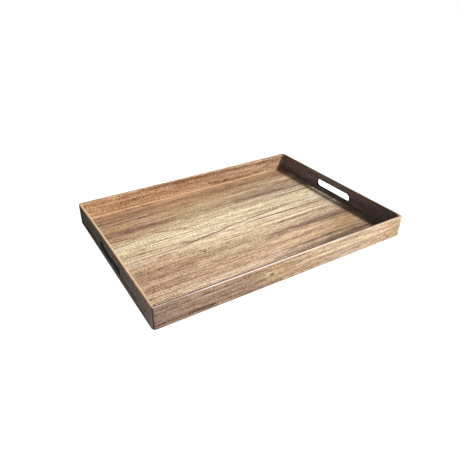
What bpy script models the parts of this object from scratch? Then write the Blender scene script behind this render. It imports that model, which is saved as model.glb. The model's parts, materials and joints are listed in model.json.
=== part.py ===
# Rectangular serving tray, wrapped in wood-grain film, with a hand slot in each short wall.
# Thin boards stand on a base board, pinned and glued, with a corner strip in each inner
# corner. One strip of film wraps the outside and the rim, a second one lines the inside,
# and a sheet covers the floor. Metres, +Z up, +X along the tray, +Y to its back.
# The origin is under the middle of the tray, on the surface that it stands on.

import math

import bmesh
import bpy

# The whole tray.
TRAY_LENGTH = 0.480
TRAY_WIDTH = 0.340
TRAY_HEIGHT = 0.040

# Sheet and board thicknesses, and the glue line left between neighbouring pieces.
FILM = 0.0005
BOARD = 0.0032
BASE_BOARD = 0.0025
UNDERSIDE_SHEET = 0.0008
GLUE_LINE = 0.0003

# Corners and edges.
OUTER_CORNER_RADIUS = 0.006
INNER_CORNER_LEG = 0.0044
RIM_OUTER_RADIUS = 0.0012
RIM_INNER_RADIUS = 0.0008
RIM_TURN_DOWN = 0.0012
FOOT_RADIUS = 0.0008
HEM_WIDTH = 0.008

# Hand slots: the clear opening, its middle height and the band that edges it.
SLOT_LENGTH = 0.094
SLOT_HEIGHT = 0.016
SLOT_MIDDLE = 0.0195
SLOT_EDGING = 0.0006

# How far the thin walls lean inwards at the middle of their rims.
SIDE_WALL_BOW = 0.0012
BACK_WALL_BOW = 0.0010

# Headless pins: eight in the wall corners, and a row up through the base board.
PIN_DIAMETER = 0.0010
PIN_HOLE_DIAMETER = 0.0017
CORNER_PIN_LENGTH = 0.014
BASE_PIN_LENGTH = 0.013
CORNER_PIN_HEIGHTS = (0.013, 0.030)
LONG_WALL_PINS = (-0.180, -0.060, 0.060, 0.180)
SHORT_WALL_PINS = (-0.110, 0.110)

# How finely the shapes are divided.
LONG_WALL_STEPS = 12
SHORT_WALL_STEPS = 10
CORNER_STEPS = 5
EDGE_STEPS = 3
SLOT_END_STEPS = 12
SLOT_SIDE_STEPS = 6
PIN_SIDES = 12

# Worked out from the above.
HALF_LENGTH = TRAY_LENGTH / 2
HALF_WIDTH = TRAY_WIDTH / 2
BOARD_OUTER = FILM + GLUE_LINE
BOARD_INNER = BOARD_OUTER + BOARD
WALL = BOARD_INNER + GLUE_LINE + FILM
BASE_BOTTOM = UNDERSIDE_SHEET + GLUE_LINE
BASE_TOP = BASE_BOTTOM + BASE_BOARD
WALL_FOOT = BASE_TOP + GLUE_LINE
FLOOR_TOP = WALL_FOOT + FILM
BOARD_TOP = TRAY_HEIGHT - FILM - GLUE_LINE
SLOT_GROWTH = SLOT_EDGING + GLUE_LINE
BOARD_MIDDLE = (BOARD_OUTER + BOARD_INNER) / 2


def clear_scene():
    for obj in list(bpy.data.objects):
        bpy.data.objects.remove(obj)


def make_material(name, colour, roughness, metallic=0.0):
    material = bpy.data.materials.new(name)
    material.use_nodes = True
    shader = material.node_tree.nodes["Principled BSDF"]
    shader.inputs["Base Color"].default_value = (*colour, 1.0)
    shader.inputs["Roughness"].default_value = roughness
    shader.inputs["Metallic"].default_value = metallic
    return material


def add_object(name, bm, material, smooth=False):
    # Turns a bmesh into a named object, with its faces pointing outwards.
    bmesh.ops.recalc_face_normals(bm, faces=bm.faces)
    mesh = bpy.data.meshes.new(name)
    bm.to_mesh(mesh)
    bm.free()
    if smooth:
        mesh.shade_smooth()
        mesh.set_sharp_from_angle(angle=math.radians(35))
    mesh.materials.append(material)
    obj = bpy.data.objects.new(name, mesh)
    bpy.context.collection.objects.link(obj)
    return obj


def cut_with(obj, cutter):
    boolean = obj.modifiers.new(cutter.name, "BOOLEAN")
    boolean.operation = "DIFFERENCE"
    boolean.solver = "EXACT"
    boolean.object = cutter


def bowed(x, y, z):
    # The side walls and the back wall lean inwards, most at the middle of their rims.
    rise = z / TRAY_HEIGHT
    along_length = x / HALF_LENGTH
    along_width = y / HALF_WIDTH
    lean_x = SIDE_WALL_BOW * rise * along_length**3 * (1 - along_width**2)
    lean_y = BACK_WALL_BOW * rise * max(0.0, along_width) ** 3 * (1 - along_length**2)
    return (x - lean_x, y - lean_y, z)


def arc(centre, radius, start, end, steps):
    # Points along an arc in a plane, angles in degrees, both ends included.
    points = []
    for step in range(steps + 1):
        angle = math.radians(start + (end - start) * step / steps)
        points.append((centre[0] + radius * math.cos(angle), centre[1] + radius * math.sin(angle)))
    return points


def between(start, end, steps):
    # Points strictly between two points.
    points = []
    for step in range(1, steps):
        share = step / steps
        points.append(tuple(a + (b - a) * share for a, b in zip(start, end)))
    return points


def loop_round_tray(corner_points):
    # Joins four corners into one path. It starts where the front wall leaves the
    # front left corner, runs anticlockwise, and ends at that same place.
    front_left = corner_points(-1, -1, 180)
    path = [front_left[-1]]
    corners = (
        (corner_points(1, -1, 270), LONG_WALL_STEPS),
        (corner_points(1, 1, 0), SHORT_WALL_STEPS),
        (corner_points(-1, 1, 90), LONG_WALL_STEPS),
        (front_left, SHORT_WALL_STEPS),
    )
    for corner, wall_steps in corners:
        path += between(path[-1], corner[0], wall_steps)
        path += corner
    return path


def rounded_path(inset):
    # The tray's outer outline, moved in by the inset, with round corners.
    radius = OUTER_CORNER_RADIUS - inset

    def corner(side_x, side_y, start):
        centre_x = side_x * (HALF_LENGTH - OUTER_CORNER_RADIUS)
        centre_y = side_y * (HALF_WIDTH - OUTER_CORNER_RADIUS)
        return arc((centre_x, centre_y), radius, start, start + 90, CORNER_STEPS)

    return loop_round_tray(corner)


def chamfered_path(inset):
    # The tray's inner outline at an inset from its outside. The corner faces stay
    # parallel to each other from one inset to the next.
    leg = INNER_CORNER_LEG + (2 - math.sqrt(2)) * (WALL - inset)

    def corner(side_x, side_y, start):
        corner_x = side_x * (HALF_LENGTH - inset)
        corner_y = side_y * (HALF_WIDTH - inset)
        on_long_wall = (corner_x - side_x * leg, corner_y)
        on_short_wall = (corner_x, corner_y - side_y * leg)
        ends = (on_long_wall, on_short_wall)
        if start in (0, 180):
            ends = (on_short_wall, on_long_wall)
        return [ends[0], *between(*ends, CORNER_STEPS), ends[1]]

    return loop_round_tray(corner)


def sweep_strip(profile):
    # Sweeps a closed profile of (path, inset, height) round the tray as one strip of
    # film. The strip's two ends meet at the front left corner, a glue line apart.
    rows = []
    for path, inset, height in profile:
        points = path(inset)
        points[0] = (points[0][0] + GLUE_LINE / 2, points[0][1])
        points[-1] = (points[-1][0] - GLUE_LINE / 2, points[-1][1])
        rows.append([bowed(x, y, height) for x, y in points])
    bm = bmesh.new()
    rings = [[bm.verts.new(row[station]) for row in rows] for station in range(len(rows[0]))]
    for ring, following in zip(rings, rings[1:]):
        for index in range(len(profile)):
            after = (index + 1) % len(profile)
            bm.faces.new((ring[index], ring[after], following[after], following[index]))
    bm.faces.new(rings[0])
    bm.faces.new(rings[-1])
    return bm


def edge_rounding(path, corner_inset, corner_height, radius, start):
    # A quarter round on the profile, from one angle to 90 degrees less.
    points = arc((corner_inset, corner_height), radius, start, start - 90, EDGE_STEPS)
    return [(path, inset, height) for inset, height in points]


def prism(outline, bottom, top, shape=None):
    # Raises a flat outline into a solid, through an optional shaping function.
    place = shape or (lambda x, y, z: (x, y, z))
    bm = bmesh.new()
    lower = [bm.verts.new(place(x, y, bottom)) for x, y in outline]
    upper = [bm.verts.new(place(x, y, top)) for x, y in outline]
    for index in range(len(outline)):
        after = (index + 1) % len(outline)
        bm.faces.new((lower[index], lower[after], upper[after], upper[index]))
    bm.faces.new(lower)
    bm.faces.new(upper)
    return bm


def build_base_board(material):
    outline = rounded_path(BOARD_OUTER)[:-1]
    return add_object("base_board", prism(outline, BASE_BOTTOM, BASE_TOP), material)


def build_long_board(name, side, material):
    # The front and back boards run the whole length and carry the round outer corners.
    radius = OUTER_CORNER_RADIUS - BOARD_OUTER
    joint = HALF_WIDTH - BOARD_INNER
    centre = (HALF_LENGTH - OUTER_CORNER_RADIUS, HALF_WIDTH - OUTER_CORNER_RADIUS)
    joint_angle = math.degrees(math.asin((joint - centre[1]) / radius))
    right_end = arc(centre, radius, joint_angle, 90, CORNER_STEPS)
    left_end = [(-x, y) for x, y in reversed(right_end)]
    outline = [*right_end, *between(right_end[-1], left_end[0], LONG_WALL_STEPS), *left_end]
    outline += between(left_end[-1], right_end[0], LONG_WALL_STEPS)
    outline = [(x, side * y) for x, y in outline]
    return add_object(name, prism(outline, WALL_FOOT, BOARD_TOP, bowed), material)


def build_short_board(name, side, material):
    # The left and right boards stand between the long ones, and follow the round
    # corner for the little that they reach into it.
    radius = OUTER_CORNER_RADIUS - BOARD_OUTER
    end = HALF_WIDTH - BOARD_INNER - GLUE_LINE
    centre = (HALF_LENGTH - OUTER_CORNER_RADIUS, HALF_WIDTH - OUTER_CORNER_RADIUS)
    end_angle = math.degrees(math.asin((end - centre[1]) / radius))
    back_end = [*arc(centre, radius, 0, end_angle, 2), (HALF_LENGTH - BOARD_INNER, end)]
    front_end = [(x, -y) for x, y in reversed(back_end)]
    outline = [*back_end, *between(back_end[-1], front_end[0], SHORT_WALL_STEPS), *front_end]
    outline += between(front_end[-1], back_end[0], SHORT_WALL_STEPS)
    outline = [(side * x, y) for x, y in outline]
    return add_object(name, prism(outline, WALL_FOOT, BOARD_TOP, bowed), material)


def build_corner_strips(material):
    # Three-sided strips that stiffen the inner corners and give them their narrow flat.
    for name, side_x, side_y in (
        ("corner_strip_front_left", -1, -1),
        ("corner_strip_front_right", 1, -1),
        ("corner_strip_back_right", 1, 1),
        ("corner_strip_back_left", -1, 1),
    ):
        corner_x = HALF_LENGTH - BOARD_INNER - GLUE_LINE
        corner_y = HALF_WIDTH - BOARD_INNER - GLUE_LINE
        lining_leg = INNER_CORNER_LEG + (2 - math.sqrt(2)) * FILM
        leg = lining_leg - math.sqrt(2) * GLUE_LINE
        outline = [(corner_x, corner_y), (corner_x - leg, corner_y), (corner_x, corner_y - leg)]
        outline = [(side_x * x, side_y * y) for x, y in outline]
        add_object(name, prism(outline, WALL_FOOT, BOARD_TOP, bowed), material)


def build_outer_wrap(material):
    # Hem under the base, outer face, over the rim, and a short turn down inside it.
    rim_inner = WALL - RIM_INNER_RADIUS
    rim_top = TRAY_HEIGHT
    profile = [(chamfered_path, HEM_WIDTH, UNDERSIDE_SHEET), (chamfered_path, HEM_WIDTH, GLUE_LINE)]
    profile += edge_rounding(rounded_path, FOOT_RADIUS, GLUE_LINE + FOOT_RADIUS, FOOT_RADIUS, 270)
    outer_height = rim_top - RIM_OUTER_RADIUS
    profile += edge_rounding(rounded_path, RIM_OUTER_RADIUS, outer_height, RIM_OUTER_RADIUS, 180)
    inner_height = rim_top - RIM_INNER_RADIUS
    profile += edge_rounding(chamfered_path, rim_inner, inner_height, RIM_INNER_RADIUS, 90)
    profile += [
        (chamfered_path, WALL, rim_top - RIM_TURN_DOWN),
        (chamfered_path, WALL - FILM, rim_top - RIM_TURN_DOWN),
        (chamfered_path, WALL - FILM, rim_top - FILM),
        (rounded_path, FILM, rim_top - FILM),
        (rounded_path, FILM, UNDERSIDE_SHEET),
    ]
    return add_object("outer_wrap", sweep_strip(profile), material, smooth=True)


def build_inner_lining(material):
    foot = FLOOR_TOP + GLUE_LINE
    head = TRAY_HEIGHT - RIM_TURN_DOWN - GLUE_LINE
    profile = [
        (chamfered_path, WALL, foot),
        (chamfered_path, WALL, head),
        (chamfered_path, WALL - FILM, head),
        (chamfered_path, WALL - FILM, foot),
    ]
    return add_object("inner_lining", sweep_strip(profile), material)


def build_floor_sheet(material):
    outline = chamfered_path(WALL - FILM)[:-1]
    return add_object("floor_sheet", prism(outline, WALL_FOOT, FLOOR_TOP), material)


def build_underside_sheet(material):
    outline = chamfered_path(HEM_WIDTH + GLUE_LINE)[:-1]
    return add_object("underside_sheet", prism(outline, 0.0, UNDERSIDE_SHEET), material)


def slot_outline(growth):
    # Stadium in the wall's own plane, as (y, z) points, grown all round by a margin.
    radius = SLOT_HEIGHT / 2 + growth
    reach = SLOT_LENGTH / 2 - SLOT_HEIGHT / 2
    back_end = arc((reach, SLOT_MIDDLE), radius, -90, 90, SLOT_END_STEPS)
    front_end = arc((-reach, SLOT_MIDDLE), radius, 90, 270, SLOT_END_STEPS)
    outline = [*back_end, *between(back_end[-1], front_end[0], SLOT_SIDE_STEPS), *front_end]
    return outline + between(front_end[-1], back_end[0], SLOT_SIDE_STEPS)


def build_slot_cutter(material):
    # One long bar of the slot's shape that passes through both short walls.
    reach = HALF_LENGTH + WALL
    bm = prism(slot_outline(SLOT_GROWTH), -reach, reach, lambda y, z, x: (x, y, z))
    cutter = add_object("slot_cutter", bm, material)
    cutter.hide_render = True
    cutter.display_type = "WIRE"
    return cutter


def build_slot_edging(name, side, material):
    # Band that lines the slot, as deep as the wall is thick.
    outer_face = side * HALF_LENGTH
    inner_face = side * (HALF_LENGTH - WALL)
    profile = (
        (0.0, outer_face),
        (0.0, inner_face),
        (SLOT_EDGING, inner_face),
        (SLOT_EDGING, outer_face),
    )
    rows = [[bowed(x, y, z) for y, z in slot_outline(growth)] for growth, x in profile]
    bm = bmesh.new()
    rings = [[bm.verts.new(point) for point in row] for row in rows]
    for ring, following in zip(rings, rings[1:] + rings[:1]):
        for index in range(len(ring)):
            after = (index + 1) % len(ring)
            bm.faces.new((ring[index], ring[after], following[after], following[index]))
    return add_object(name, bm, material, smooth=True)


def add_round_bar(bm, diameter, start, end):
    # A round bar between two points, along Y or along Z.
    rings = []
    for centre in (start, end):
        ring = []
        for side in range(PIN_SIDES):
            angle = 2 * math.pi * side / PIN_SIDES
            across = diameter / 2 * math.cos(angle)
            other = diameter / 2 * math.sin(angle)
            along_z = start[1] == end[1]
            offset = (across, other, 0.0) if along_z else (across, 0.0, other)
            ring.append(bm.verts.new(bowed(*(c + o for c, o in zip(centre, offset)))))
        rings.append(ring)
    for index in range(PIN_SIDES):
        after = (index + 1) % PIN_SIDES
        bm.faces.new((rings[0][index], rings[0][after], rings[1][after], rings[1][index]))
    bm.faces.new(rings[0])
    bm.faces.new(rings[1])


def pin_places():
    # Each pin's name, its outer end and its inner end.
    places = []
    corner_x = HALF_LENGTH - BOARD_MIDDLE
    arc_radius = OUTER_CORNER_RADIUS - BOARD_OUTER
    arc_reach = OUTER_CORNER_RADIUS - BOARD_MIDDLE
    board_face = HALF_WIDTH - OUTER_CORNER_RADIUS + math.sqrt(arc_radius**2 - arc_reach**2)
    pin_head = board_face - GLUE_LINE
    for wall, side_y in (("front", -1), ("back", 1)):
        for end, side_x in (("left", -1), ("right", 1)):
            for level, z in zip(("lower", "upper"), CORNER_PIN_HEIGHTS):
                outer = (side_x * corner_x, side_y * pin_head, z)
                inner = (side_x * corner_x, side_y * (pin_head - CORNER_PIN_LENGTH), z)
                places.append((f"corner_pin_{wall}_{end}_{level}", outer, inner))
    corner_y = HALF_WIDTH - BOARD_MIDDLE
    rows = (
        ("front", [(x, -corner_y) for x in LONG_WALL_PINS]),
        ("back", [(x, corner_y) for x in LONG_WALL_PINS]),
        ("left", [(-corner_x, y) for y in SHORT_WALL_PINS]),
        ("right", [(corner_x, y) for y in SHORT_WALL_PINS]),
    )
    for wall, row in rows:
        for number, (x, y) in enumerate(row, start=1):
            foot = (x, y, BASE_BOTTOM)
            tip = (x, y, BASE_BOTTOM + BASE_PIN_LENGTH)
            places.append((f"base_pin_{wall}_{number}", foot, tip))
    return places


def build_pins(material):
    for name, outer, inner in pin_places():
        bm = bmesh.new()
        add_round_bar(bm, PIN_DIAMETER, outer, inner)
        add_object(name, bm, material, smooth=True)


def build_pin_hole_cutter(material):
    # All the pin holes together. Each runs a glue line past its pin's tip, and well
    # out of the board at its outer end.
    bm = bmesh.new()
    for _, outer, inner in pin_places():
        direction = [i - o for o, i in zip(outer, inner)]
        length = math.hypot(*direction)
        unit = [d / length for d in direction]
        start = tuple(o - u * BOARD for o, u in zip(outer, unit))
        end = tuple(i + u * GLUE_LINE for i, u in zip(inner, unit))
        add_round_bar(bm, PIN_HOLE_DIAMETER, start, end)
    cutter = add_object("pin_hole_cutter", bm, material)
    cutter.hide_render = True
    cutter.display_type = "WIRE"
    return cutter


def build_tray():
    clear_scene()
    board_material = make_material("fibreboard", (0.36, 0.24, 0.14), 0.85)
    strip_material = make_material("corner_strip_wood", (0.50, 0.36, 0.22), 0.80)
    wrap_material = make_material("wood_grain_wrap", (0.46, 0.29, 0.17), 0.45)
    lining_material = make_material("wood_grain_lining", (0.42, 0.24, 0.12), 0.45)
    floor_material = make_material("wood_grain_floor", (0.58, 0.42, 0.27), 0.45)
    underside_material = make_material("underside_fabric", (0.03, 0.03, 0.03), 0.95)
    edging_material = make_material("black_edging", (0.01, 0.01, 0.01), 0.50)
    pin_material = make_material("pin_steel", (0.55, 0.55, 0.56), 0.35, 1.0)

    slot_cutter = build_slot_cutter(edging_material)
    pin_hole_cutter = build_pin_hole_cutter(pin_material)

    pinned = [
        build_base_board(board_material),
        build_long_board("front_board", -1, board_material),
        build_long_board("back_board", 1, board_material),
    ]
    slotted = [build_outer_wrap(wrap_material), build_inner_lining(lining_material)]
    for name, side in (("left_board", -1), ("right_board", 1)):
        board = build_short_board(name, side, board_material)
        pinned.append(board)
        slotted.append(board)
    for obj in slotted:
        cut_with(obj, slot_cutter)
    for obj in pinned:
        cut_with(obj, pin_hole_cutter)

    build_corner_strips(strip_material)
    build_floor_sheet(floor_material)
    build_underside_sheet(underside_material)
    build_slot_edging("left_slot_edging", -1, edging_material)
    build_slot_edging("right_slot_edging", 1, edging_material)
    build_pins(pin_material)


build_tray()
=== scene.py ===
import json
import math
import bpy
from mathutils import Matrix, Quaternion, Vector

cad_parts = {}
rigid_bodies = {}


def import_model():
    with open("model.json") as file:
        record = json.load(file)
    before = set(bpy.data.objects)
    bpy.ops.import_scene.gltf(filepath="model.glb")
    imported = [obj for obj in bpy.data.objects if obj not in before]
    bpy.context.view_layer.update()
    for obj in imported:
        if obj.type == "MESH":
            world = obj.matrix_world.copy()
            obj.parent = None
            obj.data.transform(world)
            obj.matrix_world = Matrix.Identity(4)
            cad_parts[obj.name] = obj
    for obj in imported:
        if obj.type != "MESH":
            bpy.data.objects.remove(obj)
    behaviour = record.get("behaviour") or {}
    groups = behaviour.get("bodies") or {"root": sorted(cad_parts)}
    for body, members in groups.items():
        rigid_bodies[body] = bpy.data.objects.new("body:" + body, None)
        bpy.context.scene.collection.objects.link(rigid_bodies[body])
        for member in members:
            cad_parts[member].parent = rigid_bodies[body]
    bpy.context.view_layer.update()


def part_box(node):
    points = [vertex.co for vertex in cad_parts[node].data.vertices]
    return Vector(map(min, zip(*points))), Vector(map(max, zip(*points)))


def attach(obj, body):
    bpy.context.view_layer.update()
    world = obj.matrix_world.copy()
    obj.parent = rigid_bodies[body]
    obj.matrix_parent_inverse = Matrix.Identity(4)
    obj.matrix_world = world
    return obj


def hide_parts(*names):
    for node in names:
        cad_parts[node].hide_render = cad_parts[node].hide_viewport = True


for leftover in list(bpy.data.objects):
    bpy.data.objects.remove(leftover)
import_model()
print("tray frame loaded")

near = 0.00002  # places closer than this count as the same


# helpers for the pieces: add a plain shape, pick parts of it, shape them, apply modifiers

def deselectAll():
    if bpy.context.object and bpy.context.object.mode != "OBJECT":
        bpy.ops.object.mode_set(mode="OBJECT")
    bpy.ops.object.select_all(action="DESELECT")


def makeActive(piece):
    deselectAll()
    piece.select_set(True)
    bpy.context.view_layer.objects.active = piece


def freshShape(add, name, size, centre, turn):
    # a plain shape at its size and place
    deselectAll()
    add(size=1, location=centre, rotation=turn)
    shape = bpy.context.object
    shape.name = name
    shape.scale = size
    bpy.ops.object.transform_apply(location=True, rotation=True, scale=True)
    return shape


def freshSheet(name, size, centre, turn=(0, 0, 0)):
    return freshShape(bpy.ops.mesh.primitive_plane_add, name, (*size, 1), centre, turn)


def freshBlock(name, size, centre, turn=(0, 0, 0)):
    return freshShape(bpy.ops.mesh.primitive_cube_add, name, size, centre, turn)


def pick(piece, kind, test):
    # selects what passes the test and stays in edit mode; a vertex is tested by its place and
    # normal, an edge by its middle and its run
    makeActive(piece)
    mesh = piece.data
    for part in (mesh.vertices, mesh.edges, mesh.polygons):
        part.foreach_set("select", [False] * len(part))
    if kind == "VERT":
        for vertex in mesh.vertices:
            vertex.select = test(vertex.co, vertex.normal)
    else:
        for edge in mesh.edges:
            start, end = (mesh.vertices[index].co for index in edge.vertices)
            edge.select = test((start + end) / 2, end - start)
    bpy.context.tool_settings.mesh_select_mode = (kind == "VERT", kind == "EDGE", False)
    bpy.ops.object.mode_set(mode="EDIT")


def leaveEdit():
    bpy.ops.object.mode_set(mode="OBJECT")


def editWhere(piece, kind, test, operator, **settings):
    # one edit on what passes the test
    pick(piece, kind, test)
    operator(**settings)
    leaveEdit()


def editAll(piece, operator, **settings):
    makeActive(piece)
    bpy.context.tool_settings.mesh_select_mode = (False, False, True)
    bpy.ops.object.mode_set(mode="EDIT")
    bpy.ops.mesh.select_all(action="SELECT")
    operator(**settings)
    leaveEdit()


def shapeCorners(sheet, reach, steps, profile):
    # profile 0.5 rounds the corners, 0.25 cuts them straight
    editAll(sheet, bpy.ops.mesh.bevel, offset=reach, segments=steps, profile=profile, affect="VERTICES")


def keepOutline(sheet):
    editAll(sheet, bpy.ops.mesh.delete, type="ONLY_FACE")


def pullEdges(piece, test, move):
    editWhere(piece, "EDGE", test, bpy.ops.mesh.extrude_region_move, TRANSFORM_OT_translate={"value": move})


def roundEdges(piece, test, radius, steps):
    editWhere(piece, "EDGE", test, bpy.ops.mesh.bevel, offset=radius, segments=steps, profile=0.5)


def divideAt(skin, point, facing):
    # new edges where a plane through the point meets the skin
    editWhere(skin, "EDGE", lambda place, run: True, bpy.ops.mesh.bisect, plane_co=point, plane_no=facing)


def turnSkin(skin, facesRight):
    # makes an open skin's faces agree, and turns them all over if they look the wrong way
    editAll(skin, bpy.ops.mesh.remove_doubles, threshold=near / 10)
    editAll(skin, bpy.ops.mesh.normals_make_consistent, inside=False)
    if sum(1 if facesRight(face.center, face.normal) else -1 for face in skin.data.polygons) < 0:
        editAll(skin, bpy.ops.mesh.flip_normals)


def applyModifier(piece, kind, **settings):
    makeActive(piece)
    modifier = piece.modifiers.new(kind.lower(), kind)
    for name, value in settings.items():
        setattr(modifier, name, value)
    bpy.ops.object.modifier_apply(modifier=modifier.name)


def cutAway(piece, cutter):
    applyModifier(piece, "BOOLEAN", operation="DIFFERENCE", solver="EXACT", object=cutter)


def finishPiece(piece, node, material, sharpAngle=32):
    makeActive(piece)
    bpy.ops.object.shade_smooth_by_angle(angle=math.radians(sharpAngle))
    piece.data.materials.clear()
    piece.data.materials.append(material)
    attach(piece, "root")
    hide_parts(node)
    print(piece.name, "ready,", len(piece.data.polygons), "faces")


# sizes that the pieces share, read from the frame where it holds them

wrapLow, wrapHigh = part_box("outer_wrap")
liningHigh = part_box("inner_lining")[1]
floorLow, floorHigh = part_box("floor_sheet")
edgingLow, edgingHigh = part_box("right_slot_edging")
undersideLow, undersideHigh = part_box("underside_sheet")

trayBuild = {
    "film": 0.0005,  # thickness of the printed film
    "outerCorner": 0.006,
    "innerCornerCut": 0.0044,
    "sideLean": 0.0012,  # how far the short walls lean in at the middle of their rims
    "backLean": 0.0010,
    "longSteps": 12, "shortSteps": 10, "cornerSteps": 10,
}
halfLength, halfWidth, rimHeight = wrapHigh
wallThickness = halfWidth - liningHigh[1] + trayBuild["film"]
innerHalfLength = halfLength - wallThickness
innerHalfWidth = halfWidth - wallThickness
footHeight = wrapLow[2]


def onOuterOutline(place):
    # true on the tray's outer outline, before its walls lean
    corner = trayBuild["outerCorner"]
    alongX = abs(place.x) - halfLength + corner
    alongY = abs(place.y) - halfWidth + corner
    if alongX > 0 and alongY > 0:
        return math.hypot(alongX, alongY) > corner - 10 * near
    return max(alongX, alongY) > corner - near


def onInnerOutline(place):
    alongX = abs(place.x) - innerHalfLength
    alongY = abs(place.y) - innerHalfWidth
    acrossCorner = (alongX + alongY + trayBuild["innerCornerCut"]) / math.sqrt(2)
    return abs(max(alongX, alongY, acrossCorner)) < near


def wallStations(halfSpan, steps):
    return [halfSpan * (2 * step / steps - 1) for step in range(1, steps)]


def leanWalls(skin):
    # divides the walls crosswise, then moves the tops of the short walls and of the back wall
    # inwards, most at mid-length
    longStations = wallStations(halfLength, trayBuild["longSteps"])
    shortStations = wallStations(halfWidth, trayBuild["shortSteps"])
    for station in longStations:
        divideAt(skin, (station, 0, 0), (1, 0, 0))
    for station in shortStations:
        divideAt(skin, (0, station, 0), (0, 1, 0))
    upper = rimHeight / 2
    wallZone = 2 * wallThickness
    for station in shortStations:
        lean = trayBuild["sideLean"] * (1 - (station / halfWidth) ** 2)
        for side in (-1, 1):
            editWhere(skin, "VERT", lambda place, normal: abs(place.y - station) < near
                      and place.z > upper and side * place.x > halfLength - wallZone,
                      bpy.ops.transform.translate, value=(-side * lean, 0, 0))
    for station in longStations:
        lean = trayBuild["backLean"] * (1 - (station / halfLength) ** 2)
        editWhere(skin, "VERT", lambda place, normal: abs(place.x - station) < near
                  and place.z > upper and place.y > halfWidth - wallZone,
                  bpy.ops.transform.translate, value=(0, -lean, 0))


# the hand slots: their outline, the bar that cuts them and the black band that lines them

slotShape = {
    "band": 0.0006,  # thickness of the black band
    "reveal": 0.00012,  # hairline between the film and the band
    "lipRound": 0.0002,
    "endRound": 0.4999, "endSteps": 18,  # a hair under half the height
    "setBack": 0.0001,  # how far the band stays behind the wall's two faces
    "barReach": 1.1,  # the cutting bar's half length, in half lengths of the tray
}
slotLength = edgingHigh[1] - edgingLow[1] - 2 * slotShape["band"]
slotHeight = edgingHigh[2] - edgingLow[2] - 2 * slotShape["band"]
slotMiddle = (edgingHigh[2] + edgingLow[2]) / 2


def slotSheet(name, growth, atX):
    # a sheet with the slot's round-ended outline, grown all round
    height = slotHeight + 2 * growth
    length = slotLength + 2 * growth
    sheet = freshSheet(name, (height, length), (atX, 0, slotMiddle), (0, math.radians(90), 0))
    shapeCorners(sheet, height * slotShape["endRound"], slotShape["endSteps"], 0.5)
    return sheet


def makeSlotBar():
    # a long bar of the slot's shape that passes through both short walls
    bar = slotSheet("slotBar", slotShape["band"] + slotShape["reveal"], -slotShape["barReach"] * halfLength)
    through = (2 * slotShape["barReach"] * halfLength, 0, 0)
    editAll(bar, bpy.ops.mesh.extrude_region_move, TRANSFORM_OT_translate={"value": through})
    editAll(bar, bpy.ops.mesh.normals_make_consistent, inside=False)
    return bar


def makeSlotBand(name, side):
    # a tube through the wall, thickened away from the opening, leaning with the wall
    outerFace = side * (halfLength - slotShape["setBack"])
    depth = wallThickness - 2 * slotShape["setBack"]
    band = slotSheet(name, 0, outerFace)
    keepOutline(band)
    pullEdges(band, lambda place, run: True, (-side * depth, 0, 0))
    turnSkin(band, lambda place, normal: normal.z * (slotMiddle - place.z) >= 0)
    applyModifier(band, "SOLIDIFY", thickness=slotShape["band"], offset=-1, use_even_offset=True)
    faces = (outerFace, outerFace - side * depth)
    roundEdges(band, lambda place, run: min(abs(place.x - face) for face in faces) < near
               and abs(run.x) < near and isBandRim(place), slotShape["lipRound"], 3)
    lean = math.atan(trayBuild["sideLean"] / rimHeight)
    editAll(band, bpy.ops.transform.rotate, value=side * lean, orient_axis="Y",
            center_override=(side * halfLength, 0, 0))
    return band


def isBandRim(place):
    # true on the band's inner outline, whose edges are the ones that fingers touch
    reach = slotLength / 2 - slotHeight / 2
    across = math.hypot(max(0, abs(place.y) - reach), place.z - slotMiddle)
    return across < slotHeight / 2 + slotShape["band"] / 3


# outer wrap: hem under the base, outer faces, rim, and a short turn down inside it

wrapShape = {
    "rimOuterRound": 0.0012, "rimInnerRound": 0.0008, "footRound": 0.0008, "roundSteps": 4,
    "turnDown": 0.0012,
    "hemWidth": 0.008,
    "seamGap": 0.0003,
    "seamBlade": 0.032,  # length of the blade that cuts the seam
}


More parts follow.
